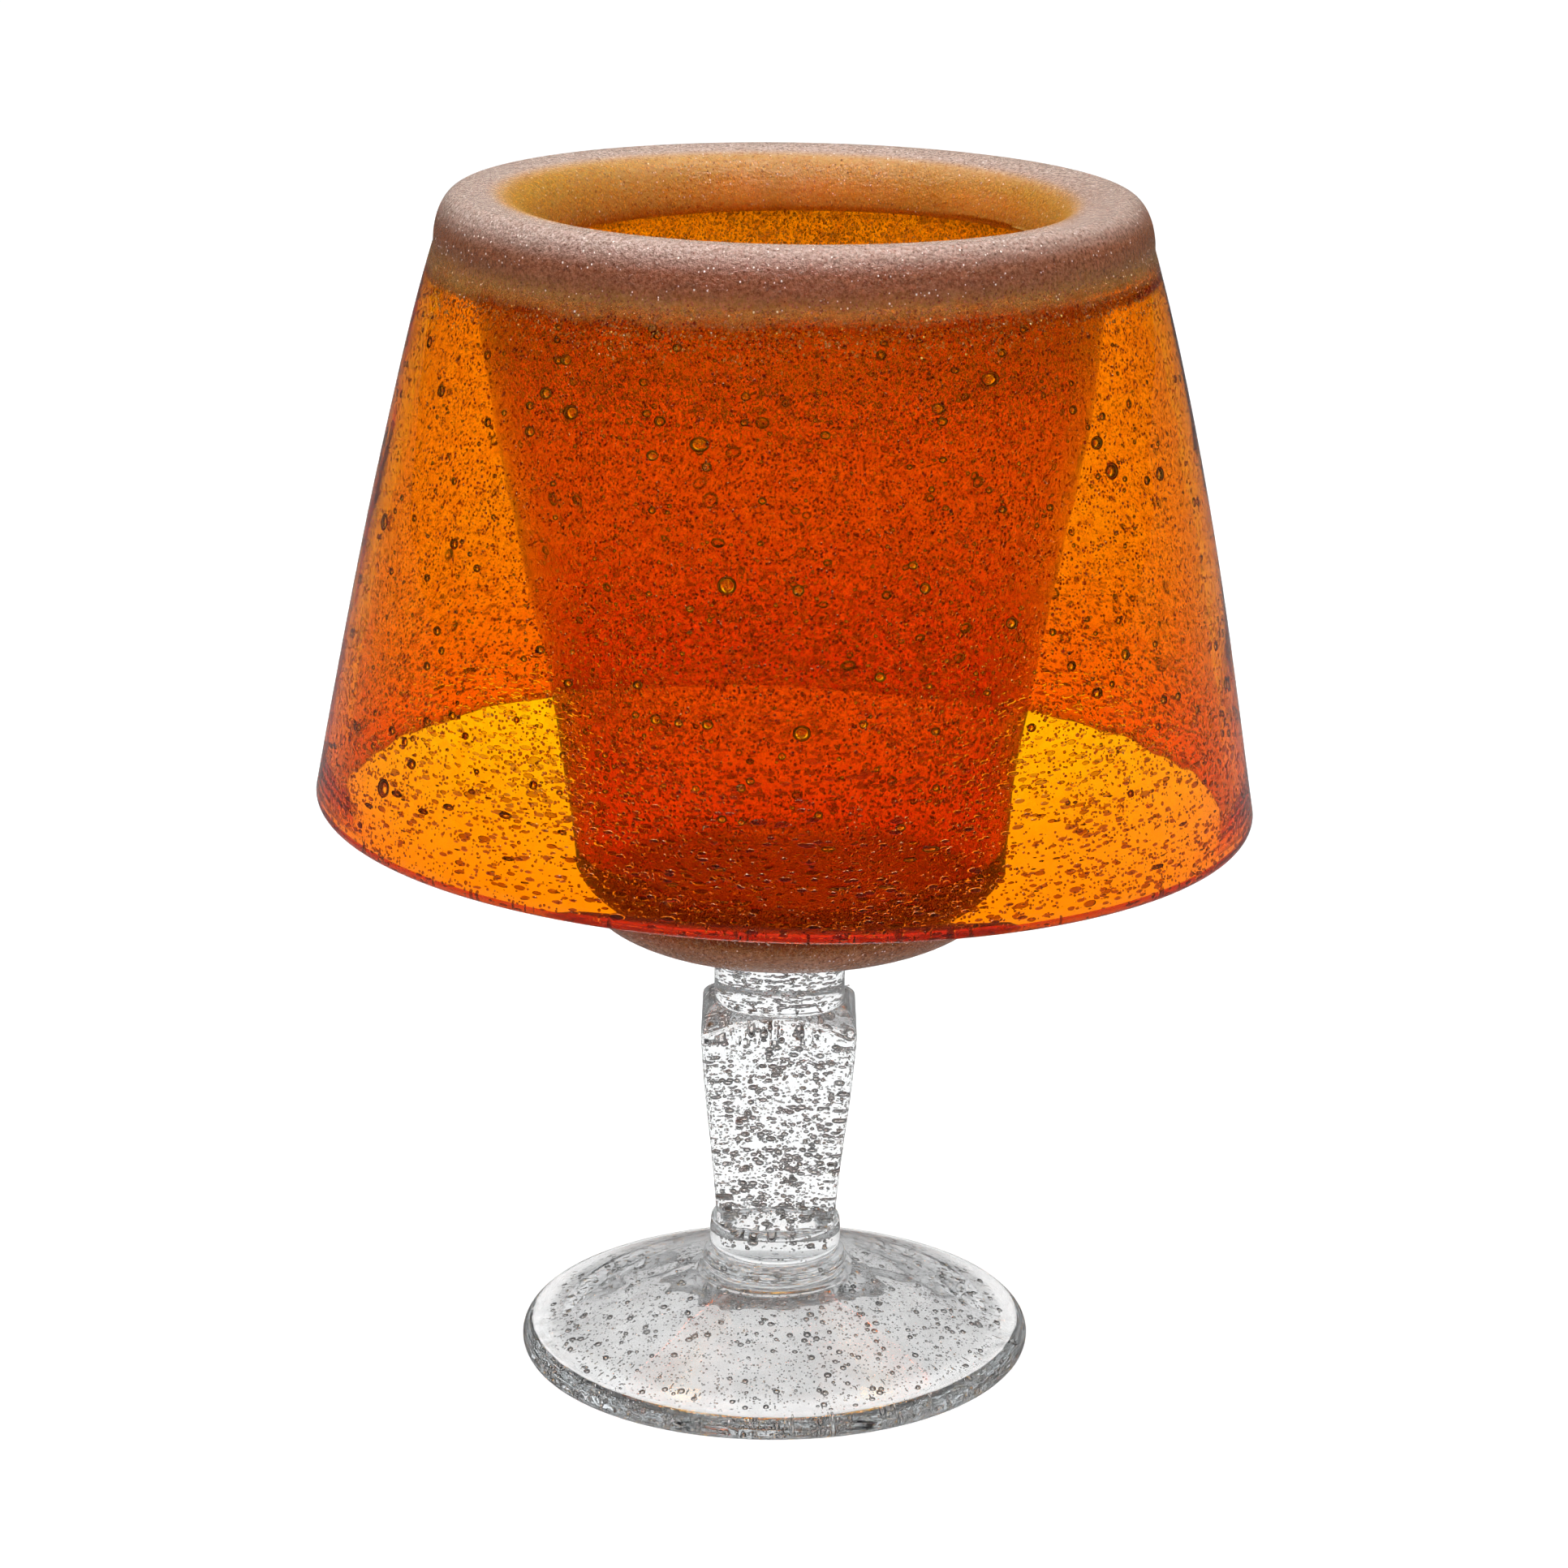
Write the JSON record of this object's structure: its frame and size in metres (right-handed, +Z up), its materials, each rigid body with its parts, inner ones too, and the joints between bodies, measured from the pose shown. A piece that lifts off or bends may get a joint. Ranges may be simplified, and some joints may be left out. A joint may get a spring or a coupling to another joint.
{
  "type": "glass candle holder",
  "caption": "Lamp-shaped blown glass candle holder: flared lift-off shade over a tapered candle cup on a square stem and domed foot.",
  "frame": {"origin": "on the standing surface under the middle of the object's box", "axes": "+Z up along the height; +X is the side the stem leans to; -Y is the front"},
  "size_m": [0.1722, 0.1722, 0.2209],
  "materials": {
    "shade_glass": "orange seeded glass, fire polished",
    "cup_glass": "orange seeded glass, fire polished",
    "clear_glass": "clear seeded glass, fire polished",
    "foot_glass": "clear seeded glass, fire polished"
  },
  "bodies": {
    "goblet": {"foot": "foot_glass", "foot_merese": "clear_glass", "stem_collar": "clear_glass", "stem_baluster": "clear_glass", "stem_neck": "clear_glass", "candle_cup": "cup_glass"},
    "shade": {"lamp_shade": "shade_glass"}
  },
  "joints": [
    {"name": "shade_lift", "type": "slide", "parent": "goblet", "child": "shade", "axis": [0, 0, 1], "range_m": [0, 0.12]}
  ]
}
